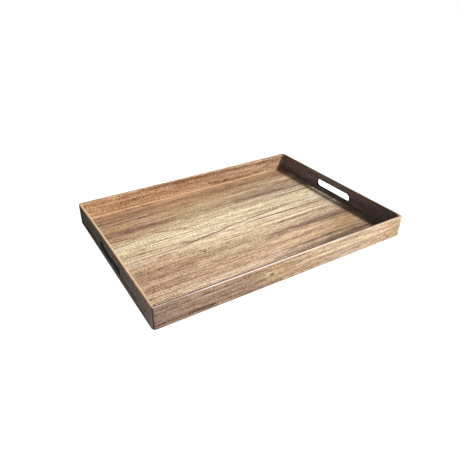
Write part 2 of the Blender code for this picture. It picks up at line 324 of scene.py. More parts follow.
def makeOuterWrap(slotBar):
    # two outlines with as many points each, joined by a band of faces: the rim
    wrap = freshSheet("outerWrap", (2 * halfLength, 2 * halfWidth), (0, 0, rimHeight))
    shapeCorners(wrap, trayBuild["outerCorner"], trayBuild["cornerSteps"], 0.5)
    keepOutline(wrap)
    cornerX = innerHalfLength - trayBuild["innerCornerCut"]
    cornerY = innerHalfWidth - trayBuild["innerCornerCut"]
    for side in (-1, 1):
        divideAt(wrap, (side * cornerX, 0, 0), (1, 0, 0))
        divideAt(wrap, (0, side * cornerY, 0), (0, 1, 0))
    inside = freshSheet("rimInside", (2 * innerHalfLength, 2 * innerHalfWidth), (0, 0, rimHeight))
    shapeCorners(inside, trayBuild["innerCornerCut"], trayBuild["cornerSteps"] + 2, 0.25)
    keepOutline(inside)
    makeActive(wrap)
    inside.select_set(True)
    bpy.ops.object.join()
    editWhere(wrap, "EDGE", lambda place, run: True, bpy.ops.mesh.bridge_edge_loops)

    def outerRim(place, run):
        return place.z > rimHeight - near and onOuterOutline(place)

    def innerRim(place, run):
        return place.z > rimHeight - near and onInnerOutline(place)

    def foot(place, run):
        return place.z < footHeight + near and onOuterOutline(place)

    pullEdges(wrap, outerRim, (0, 0, footHeight - rimHeight))
    pick(wrap, "EDGE", foot)
    bpy.ops.mesh.extrude_region_move(TRANSFORM_OT_translate={"value": (0, 0, 0)})
    hem = wrapShape["hemWidth"]
    shrink = (1 - hem / halfLength, 1 - hem / halfWidth, 1)
    bpy.ops.transform.resize(value=shrink, center_override=(0, 0, 0))
    leaveEdit()
    pullEdges(wrap, innerRim, (0, 0, -wrapShape["turnDown"]))
    turnSkin(wrap, lambda place, normal: normal.z > 0 or place.z < rimHeight - near)
    for edge, radius in ((outerRim, "rimOuterRound"), (innerRim, "rimInnerRound"), (foot, "footRound")):
        roundEdges(wrap, edge, wrapShape[radius], wrapShape["roundSteps"])
    leanWalls(wrap)
    applyModifier(wrap, "SOLIDIFY", thickness=trayBuild["film"], offset=-1, use_even_offset=True)
    cutAway(wrap, slotBar)
    cutSeam(wrap, halfLength, halfWidth)
    return wrap


def cutSeam(strip, reachX, reachY):
    # the strip's two ends meet in the middle of the front left corner
    centre = (-reachX, -reachY, rimHeight / 2)
    size = (wrapShape["seamGap"], wrapShape["seamBlade"], 2 * rimHeight)
    blade = freshBlock("seamBlade", size, centre, (0, 0, math.radians(-45)))
    cutAway(strip, blade)
    bpy.data.objects.remove(blade)


# inner lining: one strip round the inside, from under the rim's turned edge to the floor

liningShape = {
    "hairline": 0.0001,  # between the lining and its neighbours
}


def makeInnerLining(slotBar):
    head = rimHeight - wrapShape["turnDown"] - liningShape["hairline"]
    foot = floorHigh[2] + liningShape["hairline"]
    lining = freshSheet("innerLining", (2 * innerHalfLength, 2 * innerHalfWidth), (0, 0, head))
    shapeCorners(lining, trayBuild["innerCornerCut"], 1, 0.25)
    keepOutline(lining)
    pullEdges(lining, lambda place, run: True, (0, 0, foot - head))
    turnSkin(lining, lambda place, normal: normal.x * place.x + normal.y * place.y < 0)
    leanWalls(lining)
    applyModifier(lining, "SOLIDIFY", thickness=trayBuild["film"], offset=-1, use_even_offset=True)
    cutAway(lining, slotBar)
    cutSeam(lining, innerHalfLength, innerHalfWidth)
    return lining


# floor sheet and underside sheet

floorShape = {"corner": trayBuild["innerCornerCut"], "cornerSteps": 1, "profile": 0.25, "edgeRound": 0.0001}
undersideShape = {"corner": 0.004, "cornerSteps": 6, "profile": 0.5, "edgeRound": 0.0002}


def makeSheet(name, low, high, shape, shown):
    # a flat sheet, rounded along the edges of the face that shows
    sheet = freshSheet(name, (high[0] - low[0], high[1] - low[1]), (0, 0, high[2]))
    shapeCorners(sheet, shape["corner"], shape["cornerSteps"], shape["profile"])
    applyModifier(sheet, "SOLIDIFY", thickness=high[2] - low[2], offset=-1)
    roundEdges(sheet, lambda place, run: abs(place.z - shown) < near, shape["edgeRound"], 2)
    return sheet


# the printed grain follows the strip of film round the walls: each point of a strip gets
# its way along the strip, its way up it, and how far it is in from the strip's outline

hemZone = {"below": rimHeight / 8, "inside": 0.002}  # where the strip has turned in under the base


def layGrainPath(strip, reachX, reachY, corner):
    cornerX = reachX - corner
    cornerY = reachY - corner
    lap = 4 * (reachX + reachY)
    values = []
    for vertex in strip.data.vertices:
        x, y, z = vertex.co
        if abs(x) > cornerX and abs(y) > cornerY:
            turned = math.atan2(abs(y) - cornerY, abs(x) - cornerX) / math.radians(90) - 0.5
            turned *= 2 * corner
            inward = corner - math.hypot(abs(x) - cornerX, abs(y) - cornerY)
            corners = {
                (1, -1): 2 * reachX - turned,
                (1, 1): 2 * (reachX + reachY) + turned,
                (-1, 1): 4 * reachX + 2 * reachY - turned,
                (-1, -1): turned if turned > 0 else lap + turned,
            }
            along = corners[(1 if x > 0 else -1, 1 if y > 0 else -1)]
        elif reachY - abs(y) < reachX - abs(x):
            along = x + reachX if y < 0 else 3 * reachX + 2 * reachY - x
            inward = reachY - abs(y)
        else:
            along = 2 * reachX + y + reachY if x > 0 else 4 * reachX + 3 * reachY - y
            inward = reachX - abs(x)
        onHem = z < hemZone["below"] and inward > hemZone["inside"]
        values.extend((along, z - inward if onHem else z + max(0, inward), inward))
    path = strip.data.attributes.new("grainPath", "FLOAT_VECTOR", "POINT")
    path.data.foreach_set("vector", values)


# helpers that write shader nodes

def plug(tree, socket, value):
    if isinstance(value, bpy.types.NodeSocket):
        tree.links.new(value, socket)
    else:
        socket.default_value = value


def feed(tree, node, inputs):
    for key, value in inputs.items():
        plug(tree, node.inputs[key], value)


def addNode(tree, kind, inputs=None, **settings):
    made = tree.nodes.new("ShaderNode" + kind)
    for name, value in settings.items():
        setattr(made, name, value)
    feed(tree, made, inputs or {})
    return made


def calc(tree, operation, *values, clamp=False):
    inputs = dict(enumerate(values))
    return addNode(tree, "Math", inputs, operation=operation, use_clamp=clamp).outputs[0]


def times(tree, first, second):
    return calc(tree, "MULTIPLY", first, second)


def timesPlus(tree, value, factor, extra):
    return calc(tree, "MULTIPLY_ADD", value, factor, extra)


def minus(tree, first, second):
    return calc(tree, "SUBTRACT", first, second)


def between(tree, value, start, end):
    # 0 at start, 1 at end, smooth in between
    inputs = {"Value": value, "From Min": start, "From Max": end}
    return addNode(tree, "MapRange", inputs, interpolation_type="SMOOTHSTEP").outputs[0]


def fading(tree, value, start, end):
    # 1 at start, 0 at end
    return minus(tree, 1.0, between(tree, value, start, end))


def within(tree, value, rise, fall):
    # 0, then up to 1 over the rise and back to 0 over the fall
    return times(tree, between(tree, value, *rise), fading(tree, value, *fall))


def joinNumbers(tree, x, y, z):
    return addNode(tree, "CombineXYZ", {0: x, 1: y, 2: z}).outputs[0]


def noiseAt(tree, vector, detail=2.0, roughness=0.5):
    inputs = {"Vector": vector, "Scale": 1.0, "Detail": detail, "Roughness": roughness}
    return addNode(tree, "TexNoise", inputs).outputs[0]


def mixColour(tree, factor, first, second, blend="MIX"):
    inputs = {0: factor, 6: first, 7: second}
    return addNode(tree, "Mix", inputs, data_type="RGBA", blend_type=blend).outputs[2]


def tintBy(tree, colour, mask, strength, tint):
    # lays a tint over a colour where the mask is
    return mixColour(tree, times(tree, mask, strength), colour, seen(*tint))


def startGroup(name, inputs, outputs):
    # sockets are numbers unless their name says otherwise
    kinds = {"Colour": "Color", "Tint": "Color", "Place": "Vector"}
    group = bpy.data.node_groups.new(name, "ShaderNodeTree")
    for way, labels in (("INPUT", inputs), ("OUTPUT", outputs)):
        for label in labels.split(", "):
            kind = "NodeSocket" + kinds.get(label, "Float")
            group.interface.new_socket(name=label, in_out=way, socket_type=kind)
    return group, group.nodes.new("NodeGroupInput").outputs, group.nodes.new("NodeGroupOutput").inputs


def useGroup(tree, group, inputs):
    return addNode(tree, "Group", inputs, node_tree=group).outputs


def objectPlace(tree):
    return addNode(tree, "TexCoord").outputs["Object"]


def bumpOf(tree, strength, distance, height):
    return addNode(tree, "Bump", {"Strength": strength, "Distance": distance, "Height": height}).outputs[0]


def seen(red, green, blue, tone=1.0):
    # a colour as a screen shows it, 0 to 255, turned into light
    light = []
    for level in (red, green, blue):
        level = level / 255
        light.append(tone * (level / 12.92 if level < 0.04 else ((level + 0.055) / 1.055) ** 2.4))
    return (*light, 1.0)


def rampOf(tree, value, start, end, stops, tone=1.0):
    # colours laid along a value, each at its own place in the value's own unit
    factor = calc(tree, "DIVIDE", minus(tree, value, start), end - start, clamp=True)
    ramp = addNode(tree, "ValToRGB", {0: factor})
    ramp.color_ramp.interpolation = "EASE"
    points = ramp.color_ramp.elements
    ordered = sorted(((place - start) / (end - start), colour) for place, colour in stops)
    while len(points) < len(ordered):
        points.new(0.5)
    for point, (place, colour) in zip(points, ordered):
        point.position = place
        point.color = seen(*colour, tone)
    return ramp.outputs[0]


# shared groups: the printed grain, one drawn line of it, a knot, and the film's surface

grainDrawing = {
    # each layer's length and width in metres, shift of the seed, detail and roughness
    "sway": (0.30, 0.10, 0, 2, 0.5),
    "band": (0.40, 0.022, 11, 2, 0.5),
    "streak": (0.16, 0.0046, 23, 5, 0.66),
    "fibre": (0.024, 0.0019, 37, 3, 0.7),
    "pore": (0.0075, 0.0011, 51, 1, 0.5),
    "figure": (0.0036, 0.009, 67, 2, 0.6),
    "speckle": (0.0030, 0.0017, 83, 2, 0.6),
}
swayReach = 0.012  # how far the grain wanders sideways
poreCut = (0.58, 0.70)


def makeGrainField():
    group, given, out = startGroup(
        "grainField", "Along, Across, Seed", "Band, Streak, Fibre, Pore, Figure, Speckle, Swayed")

    def layer(name, across):
        length, width, shift, detail, roughness = grainDrawing[name]
        place = joinNumbers(group, calc(group, "DIVIDE", given["Along"], length),
                            calc(group, "DIVIDE", across, width),
                            calc(group, "ADD", given["Seed"], shift))
        return noiseAt(group, place, detail, roughness)

    sway = minus(group, layer("sway", given["Across"]), 0.5)
    swayed = timesPlus(group, sway, swayReach, given["Across"])
    plug(group, out["Swayed"], swayed)
    for name in ("band", "streak", "fibre"):
        plug(group, out[name.capitalize()], layer(name, swayed))
    plug(group, out["Pore"], between(group, layer("pore", swayed), *poreCut))
    for name in ("figure", "speckle"):
        plug(group, out[name.capitalize()], layer(name, given["Across"]))
    return group


lineDrawing = {
    "waves": 26.0, "seedSpread": 313.0,  # of the wobble, in a metre
    "endWidth": 0.25,  # part of the full width that is left at a line's ends
    "edge": (0.35, 1.05), "fadeIn": (0.0, 0.14), "fadeOut": (0.86, 1.0),
    "raggedGain": 2.4, "raggedBase": -1.3, "handOn": 1e-9,
}


def makeGrainLine():
    # a drawn line of the grain, laid over a colour from one place to another; the way along is
    # handed on with next to nothing added, so that a long row of lines is worked out in turn
    group, given, out = startGroup(
        "grainLine", "Colour, Along, Across, From Along, From Across, To Along, To Across, Bow, "
        "Half Width, Wobble, Rough Edge, Strength, Tint", "Colour, Along")
    draw = lineDrawing
    run = minus(group, given["To Along"], given["From Along"])
    part = calc(group, "DIVIDE", minus(group, given["Along"], given["From Along"]), run)
    held = calc(group, "MINIMUM", calc(group, "MAXIMUM", part, 0.0), 1.0)
    rise = minus(group, given["To Across"], given["From Across"])
    centre = timesPlus(group, rise, held, given["From Across"])
    arch = times(group, times(group, held, 4.0), minus(group, 1.0, held))
    centre = timesPlus(group, arch, given["Bow"], centre)
    seed = times(group, given["From Across"], draw["seedSpread"])
    turns = times(group, given["Along"], draw["waves"])
    wave = minus(group, noiseAt(group, joinNumbers(group, turns, seed, 0.0)), 0.5)
    centre = timesPlus(group, wave, given["Wobble"], centre)
    away = calc(group, "ABSOLUTE", minus(group, given["Across"], centre))
    taper = calc(group, "POWER", arch, 0.5)
    taper = timesPlus(group, taper, 1 - draw["endWidth"], draw["endWidth"])
    width = times(group, given["Half Width"], taper)
    ratio = calc(group, "ADD", calc(group, "DIVIDE", away, width), given["Rough Edge"])
    body = fading(group, ratio, *draw["edge"])
    ends = within(group, part, draw["fadeIn"], draw["fadeOut"])
    mask = times(group, times(group, body, ends), given["Strength"])
    plug(group, out["Colour"], mixColour(group, mask, given["Colour"], given["Tint"]))
    plug(group, out["Along"], timesPlus(group, mask, draw["handOn"], given["Along"]))
    return group


knotDrawing = {
    "squash": 0.6,  # a knot is longer along the grain than across it
    "core": (0.45, 1.0), "halo": (1.0, 2.6),  # where each fades, in knot sizes from the middle
}


def makeKnot():
    group, given, out = startGroup("knot", "Along, Across, Place Along, Place Across, Size", "Core, Halo")

    def squaredWay(name, stretch):
        way = minus(group, given[name], given["Place " + name])
        way = times(group, calc(group, "DIVIDE", way, given["Size"]), stretch)
        return times(group, way, way)

    squares = calc(group, "ADD", squaredWay("Along", knotDrawing["squash"]), squaredWay("Across", 1.0))
    far = calc(group, "SQRT", squares)
    plug(group, out["Core"], fading(group, far, *knotDrawing["core"]))
    plug(group, out["Halo"], fading(group, far, *knotDrawing["halo"]))
    return group


filmFinish = {
    "warmth": (0.85, 1.0, 1.2),  # powers of red, green and blue, so that dark grain is warmer
    "darkest": 0.2,
    "ior": 1.45, "specular": 0.32,
    "roughness": 0.44, "markRoughness": 0.16, "poreRoughness": 0.12, "fibreRoughness": 0.08,
    "markScale": 17.0, "gritScale": 900.0,
    "gritHeight": 0.35, "fibreHeight": 0.5, "poreDepth": 0.6,
    "relief": 0.25, "reliefDistance": 0.00015,
    "dust": 0.05, "dustCut": (0.55, 0.8), "dustTint": (222, 212, 200),
}


def makeFilmSurface():
    # handling marks, faint dust and the film's own fine relief
    group, given, out = startGroup("filmSurface", "Place, Fibre, Pore", "Roughness, Height, Dust")
    finish = filmFinish

    def marksAt(scale, detail, roughness):
        inputs = {0: given["Place"], "Scale": scale}
        scaled = addNode(group, "VectorMath", inputs, operation="SCALE").outputs[0]
        return noiseAt(group, scaled, detail, roughness)

    marks = marksAt(finish["markScale"], 3, 0.55)
    grit = marksAt(finish["gritScale"], 2, 0.6)
    rough = timesPlus(group, marks, finish["markRoughness"], finish["roughness"])
    rough = timesPlus(group, given["Pore"], finish["poreRoughness"], rough)
    rough = timesPlus(group, given["Fibre"], finish["fibreRoughness"], rough)
    height = times(group, given["Fibre"], finish["fibreHeight"])
    height = timesPlus(group, grit, finish["gritHeight"], height)
    height = timesPlus(group, given["Pore"], -finish["poreDepth"], height)
    plug(group, out["Roughness"], rough)
    plug(group, out["Height"], height)
    plug(group, out["Dust"], times(group, between(group, marks, *finish["dustCut"]), finish["dust"]))
    return group


grainField = makeGrainField()
grainLine = makeGrainLine()
knot = makeKnot()
filmSurface = makeFilmSurface()


def startMaterial(name):
    material = bpy.data.materials.new(name)
    material.use_nodes = True
    return material, material.node_tree, material.node_tree.nodes["Principled BSDF"]


def drawLines(tree, colour, field, along, across, lines):
    # each line: from and to in mm along and across, bow, half width, wobble, strength, tint
    ragged = timesPlus(tree, field["Fibre"], lineDrawing["raggedGain"], lineDrawing["raggedBase"])
    names = ("From Along", "From Across", "To Along", "To Across", "Bow", "Half Width", "Wobble")
    for *measures, strength, tint in lines:
        inputs = {name: measure / 1000 for name, measure in zip(names, measures)}
        inputs.update({"Colour": colour, "Along": along, "Across": across, "Rough Edge": ragged,
                       "Strength": strength, "Tint": seen(*tint)})
        drawn = useGroup(tree, grainLine, inputs)
        colour, along = drawn["Colour"], drawn["Along"]
    return colour


def drawKnot(tree, colour, along, across, look):
    knotX, knotY, size = look["knot"]
    mark = useGroup(tree, knot, {"Along": along, "Across": across, "Place Along": knotX / 1000,
                                 "Place Across": knotY / 1000, "Size": size / 1000})
    for part, strength, tint in look["knotParts"]:
        colour = tintBy(tree, colour, mark[part], strength, tint)
    return colour


def printGrain(tree, colour, field, look):
    # the shared grain darkens a ground colour towards warm brown and lightens it towards cream
    level = timesPlus(tree, field["Streak"], 2 * look["Streak"], 1 - look["Streak"])
    for name in ("Band", "Fibre", "Figure", "Speckle"):
        swing = timesPlus(tree, field[name], 2 * look[name], -look[name])
        level = calc(tree, "ADD", level, swing)
    level = timesPlus(tree, field["Pore"], -look["Pore"], level)
    level = calc(tree, "MAXIMUM", level, filmFinish["darkest"])
    warmed = joinNumbers(tree, *(calc(tree, "POWER", level, power) for power in filmFinish["warmth"]))
    return mixColour(tree, 1.0, colour, warmed, "MULTIPLY")


def layPrint(tree, ground, field, along, across, look):
    colour = drawLines(tree, ground, field, along, across, look["lines"])
    colour = drawKnot(tree, colour, along, across, look)
    return printGrain(tree, colour, field, look)


def finishFilm(tree, shader, colour, field):
    finish = filmFinish
    surface = useGroup(tree, filmSurface, {"Place": objectPlace(tree), "Fibre": field["Fibre"],
                                           "Pore": field["Pore"]})
    feed(tree, shader, {
        "Base Color": mixColour(tree, surface["Dust"], colour, seen(*finish["dustTint"])),
        "Roughness": surface["Roughness"], "IOR": finish["ior"], "Specular IOR Level": finish["specular"],
        "Normal": bumpOf(tree, finish["relief"], finish["reliefDistance"], surface["Height"])})


floorLook = {
    "seed": 3.0, "tone": 1.0,
    "Streak": 1.5, "Band": 0.12, "Fibre": 1.3, "Figure": 0.5, "Speckle": 1.3, "Pore": 0.28,
    # ground colours by the way across in mm, for the floor's left, middle and right
    "left": [
        (158, (190, 154, 124)), (146, (172, 134, 105)), (126, (186, 150, 120)), (104, (197, 160, 120)),
        (84, (165, 130, 100)), (64, (202, 168, 130)), (46, (214, 187, 147)), (24, (235, 210, 172)),
        (0, (213, 184, 150)), (-16, (212, 183, 153)), (-36, (208, 174, 139)), (-56, (178, 143, 113)),
        (-76, (192, 161, 130)), (-96, (181, 149, 120)), (-116, (203, 173, 144)),
    ],
    "middle": [
        (158, (188, 153, 122)), (146, (178, 143, 108)), (126, (190, 155, 120)), (104, (198, 168, 128)),
        (84, (180, 152, 114)), (64, (202, 175, 140)), (46, (220, 197, 161)), (24, (221, 196, 159)),
        (4, (225, 202, 169)), (-16, (219, 191, 154)), (-36, (204, 174, 142)), (-56, (186, 156, 123)),
        (-76, (195, 165, 132)), (-96, (194, 162, 129)), (-116, (192, 164, 136)),
    ],
    "right": [
        (158, (170, 137, 106)), (146, (168, 136, 105)), (126, (197, 169, 134)), (104, (178, 150, 118)),
        (84, (160, 132, 106)), (64, (200, 176, 144)), (46, (211, 188, 150)), (24, (200, 178, 147)),
        (4, (203, 181, 151)), (-16, (198, 170, 140)), (-36, (190, 163, 134)), (-56, (150, 121, 98)),
        (-76, (176, 144, 110)), (-96, (164, 134, 102)), (-116, (138, 112, 86)),
    ],
    "width": (-130, 165),
    "leftToMiddle": (-0.19, -0.03), "middleToRight": (0.02, 0.19),
    "lines": [
        (-240, 83, -60, 80, 2, 6, 4, 0.55, (122, 86, 66)), (-60, 81, 90, 85, 1, 3, 4, 0.35, (140, 108, 80)),
        (30, 83, 190, 82, -2, 5, 5, 0.75, (112, 82, 68)), (150, 76, 232, 78, 0, 4, 3, 0.45, (120, 92, 74)),
        (-80, 70, 60, 84, 3, 2.6, 3, 0.56, (137, 105, 79)), (120, 58, 238, 56, 1, 2.4, 2, 0.95, (98, 73, 58)),
        (20, 62, 130, 60, 1, 1.9, 3, 0.56, (141, 111, 85)),
        (-145, 59, -70, 41, -2, 3.6, 3, 0.75, (164, 124, 90)),
        (-232, 62, -150, 56, 1, 2.6, 3, 0.62, (150, 111, 85)),
        (-232, 43, -190, 42, 0, 2.1, 2, 0.69, (141, 109, 85)),
        (-232, 34, -70, 30, 5, 11, 5, 0.45, (244, 228, 198)),
        (-60, 40, 60, 33, 3, 8, 5, 0.3, (240, 222, 190)), (60, 40, 232, 38, 2, 9, 5, 0.3, (226, 208, 174)),
        (-232, 20, 30, 22, 5, 2.1, 4, 0.56, (165, 135, 105)),
        (-228, 4, -150, 4, 1, 1.9, 1, 0.88, (130, 100, 77)),
        (-114, -8, -14, 3, 0, 2.3, 2, 0.95, (120, 88, 66)), (-54, -1, 26, 10, 0, 2.0, 2, 0.8, (128, 96, 72)),
        (10, 8, 130, 20, -1, 2.1, 2, 0.88, (133, 103, 77)), (4, 0, 232, -2, 1, 2.4, 2, 0.94, (137, 107, 81)),
        (40, 22, 232, 16, 2, 1.8, 3, 0.5, (158, 130, 100)),
        (-60, 45, 22, 49, 2, 1.9, 2, 0.56, (160, 130, 100)),
        (-170, -22, -128, -20, 1, 1.9, 2, 0.81, (141, 102, 79)),
        (-232, -33, -60, -30, 2, 1.9, 3, 0.56, (158, 122, 96)),
        (58, -33, 222, -30, 3, 2.9, 8, 0.75, (141, 111, 90)),
        (62, -27, 232, -24, 3, 3.5, 8, 0.5, (236, 216, 188)),
        (20, -58, 232, -60, 2, 4.5, 5, 0.75, (112, 82, 68)),
        (84, -61, 232, -62, 0, 2.4, 3, 0.6, (84, 60, 50)),
        (20, -63, 100, -64, 0, 1.9, 2, 0.75, (113, 83, 68)),
        (-236, -66, -100, -64, -2, 5, 3, 0.6, (136, 98, 80)),
        (-225, -52, -20, -50, 3, 1.9, 2, 0.62, (143, 107, 85)),
        (-232, -88, -30, -94, 3, 3, 4, 0.55, (142, 106, 86)),
        (-232, -102, -90, -100, 1, 2.1, 3, 0.62, (132, 98, 81)),
        (-60, -76, 60, -74, 2, 1.9, 3, 0.5, (150, 118, 94)),
        (-40, -80, 120, -86, -3, 2.4, 3, 0.62, (135, 102, 81)),
        (30, -112, 160, -106, 1, 4, 4, 0.55, (112, 84, 70)),
        (-20, -124, 245, -119, 0, 5, 5, 0.55, (98, 74, 58)),
        (60, -110, 240, -105, 0, 3, 5, 0.5, (112, 86, 64)), (90, -126, 250, -122, 0, 7, 5, 0.6, (84, 64, 52)),
        (-180, 118, 10, 112, 3, 2.9, 3, 0.56, (133, 100, 73)),
        (-60, 121, 0, 118, 1, 4, 3, 0.4, (146, 110, 82)),
        (-10, 100, 232, 104, 1, 2.1, 3, 0.69, (132, 102, 79)),
        (20, 114, 232, 112, 1, 1.9, 3, 0.56, (137, 107, 83)),
        (-30, 142, 232, 138, 2, 3.5, 4, 0.5, (128, 96, 74)),
        (-150, 146, 20, 142, 2, 3, 4, 0.45, (146, 108, 78)),
        (30, 127, 230, 125, 1, 1.7, 2, 0.5, (138, 108, 82)), (90, 97, 232, 96, 1, 1.6, 2, 0.6, (124, 96, 76)),
        (70, 91, 228, 90, 0, 1.6, 2, 0.55, (122, 92, 74)),
        (-228, 118, -90, 116, 1, 1.7, 2, 0.5, (140, 106, 80)),
        (-226, 99, -60, 97, 1, 1.6, 2, 0.5, (138, 104, 80)),
        (-232, 131, -120, 130, 1, 2.2, 3, 0.45, (142, 106, 82)),
    ],
    "knot": (-89, -43, 3.4),  # in mm: way along, way across, size
    "knotParts": [("Core", 0.9, (112, 80, 60))],
    # painted shade: a dark edge along the floor's left end, behind the left wall's foot
    "paintedEndShade": (-0.2300, -0.2311), "paintedEndShadeTint": (24, 22, 22),
}


def makeFloorFilm():
    material, tree, shader = startMaterial("floorFilm")
    look = floorLook
    along, across = addNode(tree, "SeparateXYZ", {0: objectPlace(tree)}).outputs[:2]
    field = useGroup(tree, grainField, {"Along": along, "Across": across, "Seed": look["seed"]})
    sideways = times(tree, field["Swayed"], 1000.0)
    left, middle, right = (rampOf(tree, sideways, *look["width"], look[name], look["tone"])
                           for name in ("left", "middle", "right"))
    ground = mixColour(tree, between(tree, along, *look["leftToMiddle"]), left, middle)
    ground = mixColour(tree, between(tree, along, *look["middleToRight"]), ground, right)
    colour = layPrint(tree, ground, field, along, across, look)
    # painted shade along the floor's left end, behind the left wall's foot
    paintedEndShade = between(tree, along, *look["paintedEndShade"])
    finishFilm(tree, shader, tintBy(tree, colour, paintedEndShade, 1.0, look["paintedEndShadeTint"]), field)
    return material


wrapLook = {
    "seed": 19.0, "tone": 0.95, "lap": 1640,  # the lap is the way round in mm
    "Streak": 1.4, "Band": 0.35, "Fibre": 1.15, "Figure": 0.5, "Speckle": 1.0, "Pore": 0.25,
    # ground colours by the way along the strip in mm: front, right, back, left; print with painted shade in
    # it:
    # the front darkens towards its left end, and the left wall is darker all over and darkest at its back end
    "ground": [
        (0, (158, 129, 111)), (30, (168, 137, 116)), (72, (183, 149, 123)), (144, (180, 147, 120)),
        (216, (203, 170, 134)), (288, (212, 181, 148)), (360, (208, 179, 149)), (422, (220, 189, 155)),
        (470, (206, 174, 137)), (560, (190, 156, 124)), (820, (176, 142, 114)), (1060, (190, 156, 122)),
        (1290, (180, 146, 116)), (1304, (86, 70, 60)), (1325, (122, 101, 86)), (1420, (151, 129, 111)),
        (1500, (177, 152, 133)), (1636, (191, 166, 146)),
    ],
    "rim": [
        (0, (180, 146, 122)), (200, (200, 164, 134)), (470, (206, 176, 142)), (520, (222, 200, 166)),
        (790, (216, 192, 158)), (830, (180, 146, 110)), (1290, (184, 148, 108)), (1320, (184, 144, 108)),
        (1470, (164, 126, 104)), (1640, (160, 124, 106)),
    ],
    "lines": [
        (6, 28, 160, 30, 2, 1.8, 2, 0.55, (124, 94, 80)), (8, 18, 130, 20, 1, 1.5, 2, 0.55, (130, 100, 84)),
        (6, 7, 60, 9, 1, 2.5, 2, 0.55, (128, 98, 84)), (52, 8, 104, 7, 1, 4.5, 3, 0.75, (104, 78, 72)),
        (90, 14, 200, 12, 1, 2, 2, 0.5, (134, 102, 86)), (120, 34, 240, 32, 0, 1.5, 2, 0.5, (140, 106, 86)),
        (130, 5, 230, 4, 0, 2, 2, 0.55, (126, 96, 82)), (215, 20, 262, 27, 0, 2.6, 3, 0.55, (146, 104, 80)),
        (236, 10, 280, 14, 0, 2.2, 3, 0.5, (150, 110, 86)), (180, 30, 200, 22, 0, 4, 1, 0.6, (232, 206, 170)),
        (255, 6, 400, 9, 2, 2.2, 2, 0.5, (190, 146, 118)), (270, 22, 470, 24, 1, 5, 3, 0.45, (236, 210, 172)),
        (300, 31, 400, 33, 1, 1.8, 2, 0.5, (188, 144, 116)),
        (340, 13, 470, 12, -1, 2.0, 2, 0.55, (182, 134, 110)),
        (400, 27, 478, 25, 1, 1.8, 2, 0.65, (170, 122, 98)),
        (440, 35, 479, 32, 0, 1.6, 1, 0.5, (176, 130, 104)), (1310, 14, 1630, 13, 1, 2, 2, 0.4, (92, 74, 64)),
        (1310, 30, 1630, 32, 1, 2, 2, 0.35, (96, 78, 66)),
    ],
    "knot": (197, 20.5, 3.6),
    "knotParts": [("Halo", 0.35, (226, 198, 160)), ("Core", 0.8, (112, 78, 56))],
    # painted contact shadow: the outer walls darken towards their foot
    "foot": (0.0026, 0.0010), "footStrength": 0.55, "footTint": (84, 74, 70),
}
seamLook = {
    # places along the strip in metres
    "pale": (1.6348, 1.6370), "paleStrength": 0.35, "paleTint": (226, 208, 196),
    "start": (0.0010, 0.0024), "end": (1.6388, 1.6396), "strength": 0.8, "tint": (70, 54, 48),
}
rimLook = {
    "height": (0.0392, 0.0399),  # where the rim's own tone takes over
    "frontEnd": (0.470, 0.480), "rightStart": (0.486, 0.494), "rightEnd": (0.806, 0.814),
    "leftStart": (1.300, 1.310),
    # places inwards: a painted highlight on the front's outer half, painted shade on the inner half of the
    # front and of the right wall, a pale one on the left wall's
    "frontOuter": (0.0020, 0.0026), "frontInner": (0.0019, 0.0025),
    "rightInner": (0.0018, 0.0032), "leftInner": (0.0024, 0.0032),
    "paintedHighlightRise": (0.040, 0.100), "paintedHighlightFall": (0.318, 0.398),
    "paintedHighlightLeast": 0.25, "paintedHighlightGain": 0.50, "paintedHighlightTint": (244, 226, 214),
    "paintedShadeStrength": 0.85, "paintedShadeTint": (84, 60, 50),
    "paleStrength": 0.75, "paleTint": (236, 206, 164),
}


def alongRamp(tree, along, stops, look):
    return rampOf(tree, times(tree, along, 1000.0), 0, look["lap"], stops, look["tone"])


def startWallFilm(name, look):
    # a film that follows a strip's grain path, with its ground colours laid along it
    material, tree, shader = startMaterial(name)
    path = addNode(tree, "Attribute", attribute_name="grainPath").outputs["Vector"]
    along, across, inset = addNode(tree, "SeparateXYZ", {0: path}).outputs
    field = useGroup(tree, grainField, {"Along": along, "Across": across, "Seed": look["seed"]})
    ground = alongRamp(tree, along, look["ground"], look)
    colour = layPrint(tree, ground, field, along, across, look)
    return material, tree, shader, field, colour, (along, across, inset)


def drawSeam(tree, colour, along):
    # the strip is pale just before the seam, and dark at both its ends
    pale = between(tree, along, *seamLook["pale"])
    colour = tintBy(tree, colour, pale, seamLook["paleStrength"], seamLook["paleTint"])
    start = fading(tree, along, *seamLook["start"])
    dark = calc(tree, "MAXIMUM", start, between(tree, along, *seamLook["end"]))
    return tintBy(tree, colour, dark, seamLook["strength"], seamLook["tint"])


